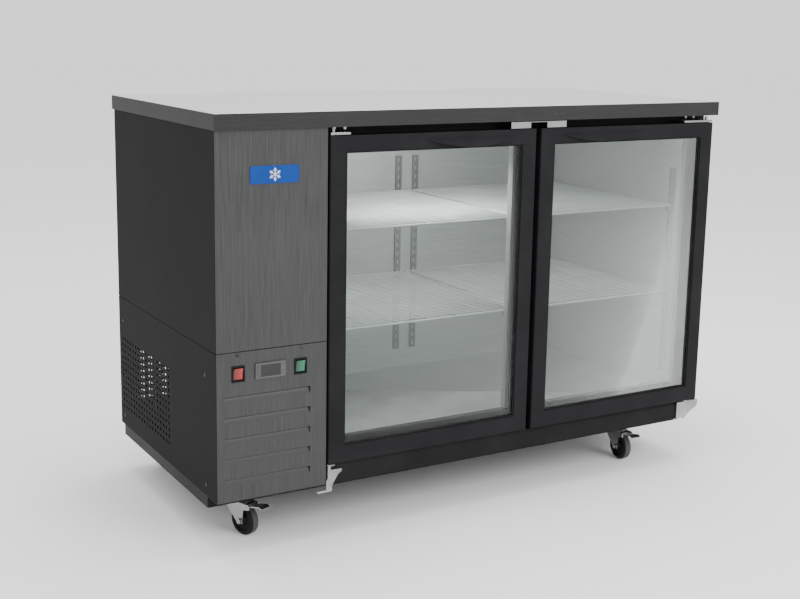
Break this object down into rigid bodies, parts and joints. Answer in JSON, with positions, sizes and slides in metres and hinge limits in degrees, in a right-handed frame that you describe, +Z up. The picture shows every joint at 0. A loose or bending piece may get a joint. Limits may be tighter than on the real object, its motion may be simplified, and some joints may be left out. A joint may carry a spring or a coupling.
{
  "type": "under counter fridge",
  "caption": "Low back bar fridge on casters: glass doors over a cold room with wire shelves, and a louvred compartment for the cooling unit at its left end.",
  "frame": {"origin": "on the floor under the middle of the outline", "axes": "+X along the front from the cooling unit to the doors, +Y from the front to the back, +Z up"},
  "size_m": [1.468, 0.714, 1.021],
  "materials": {
    "stainless": "fine brushed stainless steel",
    "dark_sheet": "dark brushed coating with an upright grain",
    "galvanised": "plain galvanised sheet",
    "black_steel": "satin black paint",
    "black_plastic": "matt black",
    "foam": "rigid foam",
    "badge_blue": "plain blue plate",
    "aluminium": "plain",
    "copper": "plain copper tube",
    "lamp_white": "white diffuser",
    "red_plastic": "translucent red",
    "green_plastic": "translucent green",
    "grey_plastic": "light grey",
    "zinc": "zinc plated",
    "white_wire": "white coated wire",
    "door_black": "satin black profile",
    "glass": "clear",
    "gasket": "soft magnetic seal",
    "tyre": "black rubber tyre on a plastic hub"
  },
  "bodies": {
    "cabinet": {"back_panel": "galvanised", "badge_plate": "badge_blue", "base_frame": "black_steel", "caster_plates": "zinc", "compressor": "black_steel", "condenser_coil": "aluminium", "controller": "grey_plastic", "cord_gland": "black_plastic", "drain_pan": "galvanised", "evaporator_coil": "aluminium", "face_frame": "black_plastic", "fan_motors": "black_steel", "front_upper_panel": "dark_sheet", "inner_liner": "stainless", "insulation": "foam", "interior_lamp": "lamp_white", "kick_rail": "black_steel", "left_upper_panel": "dark_sheet", "left_vent_panel": "dark_sheet", "lock_bracket": "zinc", "lower_hinges": "zinc", "lower_left_shelf": "white_wire", "lower_right_shelf": "white_wire", "refrigerant_tubes": "copper", "right_side_panel": "dark_sheet", "screws": "black_steel", "service_panel": "dark_sheet", "shelf_supports": "stainless", "switch_bezels": "black_plastic", "upper_hinges": "zinc", "upper_left_shelf": "white_wire", "upper_right_shelf": "white_wire", "worktop_band": "dark_sheet", "worktop_sheet": "stainless"},
    "left_door": {"left_door_frame": "door_black", "left_door_glass": "glass", "left_door_gasket": "gasket", "left_door_handle": "door_black"},
    "right_door": {"right_door_frame": "door_black", "right_door_glass": "glass", "right_door_gasket": "gasket", "right_door_handle": "door_black"},
    "front_left_swivel": {"front_left_caster_fork": "zinc"},
    "front_left_wheel": {"front_left_caster_wheel": "tyre"},
    "front_left_brake": {"front_left_brake_pedal": "zinc"},
    "front_right_swivel": {"front_right_caster_fork": "zinc"},
    "front_right_wheel": {"front_right_caster_wheel": "tyre"},
    "front_right_brake": {"front_right_brake_pedal": "zinc"},
    "rear_left_swivel": {"rear_left_caster_fork": "zinc"},
    "rear_left_wheel": {"rear_left_caster_wheel": "tyre"},
    "rear_right_swivel": {"rear_right_caster_fork": "zinc"},
    "rear_right_wheel": {"rear_right_caster_wheel": "tyre"},
    "red_switch": {"red_rocker": "red_plastic"},
    "green_switch": {"green_rocker": "green_plastic"},
    "upper_left_button_key": {"upper_left_button": "grey_plastic"},
    "upper_right_button_key": {"upper_right_button": "grey_plastic"},
    "lower_left_button_key": {"lower_left_button": "grey_plastic"},
    "lower_right_button_key": {"lower_right_button": "grey_plastic"},
    "evaporator_fan": {"evaporator_fan_blade": "black_plastic"},
    "condenser_fan": {"condenser_fan_blade": "aluminium"}
  },
  "joints": [
    {"name": "left_door_hinge", "type": "hinge", "parent": "cabinet", "child": "left_door", "pos_m": [-0.4395, -0.3305, 0.573], "axis": [0, 0, -1], "range_deg": [0, 105]},
    {"name": "right_door_hinge", "type": "hinge", "parent": "cabinet", "child": "right_door", "pos_m": [0.7115, -0.3305, 0.573], "axis": [0, 0, 1], "range_deg": [0, 105]},
    {"name": "front_left_swivel_turn", "type": "hinge", "parent": "cabinet", "child": "front_left_swivel", "pos_m": [-0.627, -0.2, 0.085], "axis": [0, 0, 1], "continuous": true},
    {"name": "front_left_wheel_roll", "type": "hinge", "parent": "front_left_swivel", "child": "front_left_wheel", "pos_m": [-0.61625, -0.22801, 0.0375], "axis": [0.9336, 0.3584, 0], "continuous": true},
    {"name": "front_left_brake_press", "type": "hinge", "parent": "front_left_swivel", "child": "front_left_brake", "pos_m": [-0.60837, -0.24855, 0.077], "axis": [0.9336, 0.3584, 0], "range_deg": [0, 15]},
    {"name": "front_right_swivel_turn", "type": "hinge", "parent": "cabinet", "child": "front_right_swivel", "pos_m": [0.551, -0.2, 0.085], "axis": [0, 0, 1], "continuous": true},
    {"name": "front_right_wheel_roll", "type": "hinge", "parent": "front_right_swivel", "child": "front_right_wheel", "pos_m": [0.54891, -0.22993, 0.0375], "axis": [0.9976, -0.0698, 0], "continuous": true},
    {"name": "front_right_brake_press", "type": "hinge", "parent": "front_right_swivel", "child": "front_right_brake", "pos_m": [0.54737, -0.25187, 0.077], "axis": [0.9976, -0.0698, 0], "range_deg": [0, 15]},
    {"name": "rear_left_swivel_turn", "type": "hinge", "parent": "cabinet", "child": "rear_left_swivel", "pos_m": [-0.627, 0.265, 0.085], "axis": [0, 0, 1], "continuous": true},
    {"name": "rear_left_wheel_roll", "type": "hinge", "parent": "rear_left_swivel", "child": "rear_left_wheel", "pos_m": [-0.627, 0.295, 0.0375], "axis": [-1, 0, 0], "continuous": true},
    {"name": "rear_right_swivel_turn", "type": "hinge", "parent": "cabinet", "child": "rear_right_swivel", "pos_m": [0.551, 0.265, 0.085], "axis": [0, 0, 1], "continuous": true},
    {"name": "rear_right_wheel_roll", "type": "hinge", "parent": "rear_right_swivel", "child": "rear_right_wheel", "pos_m": [0.551, 0.295, 0.0375], "axis": [-1, 0, 0], "continuous": true},
    {"name": "red_switch_tip", "type": "hinge", "parent": "cabinet", "child": "red_switch", "pos_m": [-0.677, -0.334, 0.434], "axis": [-1, 0, 0], "range_deg": [0, 18]},
    {"name": "green_switch_tip", "type": "hinge", "parent": "cabinet", "child": "green_switch", "pos_m": [-0.521, -0.334, 0.434], "axis": [-1, 0, 0], "range_deg": [0, 18]},
    {"name": "upper_left_button_press", "type": "slide", "parent": "cabinet", "child": "upper_left_button_key", "axis": [0, 1, 0], "range_m": [0, 0.0008], "stiffness_N_per_m": 300},
    {"name": "upper_right_button_press", "type": "slide", "parent": "cabinet", "child": "upper_right_button_key", "axis": [0, 1, 0], "range_m": [0, 0.0008], "stiffness_N_per_m": 300},
    {"name": "lower_left_button_press", "type": "slide", "parent": "cabinet", "child": "lower_left_button_key", "axis": [0, 1, 0], "range_m": [0, 0.0008], "stiffness_N_per_m": 300},
    {"name": "lower_right_button_press", "type": "slide", "parent": "cabinet", "child": "lower_right_button_key", "axis": [0, 1, 0], "range_m": [0, 0.0008], "stiffness_N_per_m": 300},
    {"name": "evaporator_fan_spin", "type": "hinge", "parent": "cabinet", "child": "evaporator_fan", "pos_m": [-0.416, 0.198, 0.76], "axis": [1, 0, 0], "continuous": true},
    {"name": "condenser_fan_spin", "type": "hinge", "parent": "cabinet", "child": "condenser_fan", "pos_m": [-0.621, -0.075, 0.3], "axis": [1, 0, 0], "continuous": true}
  ]
}
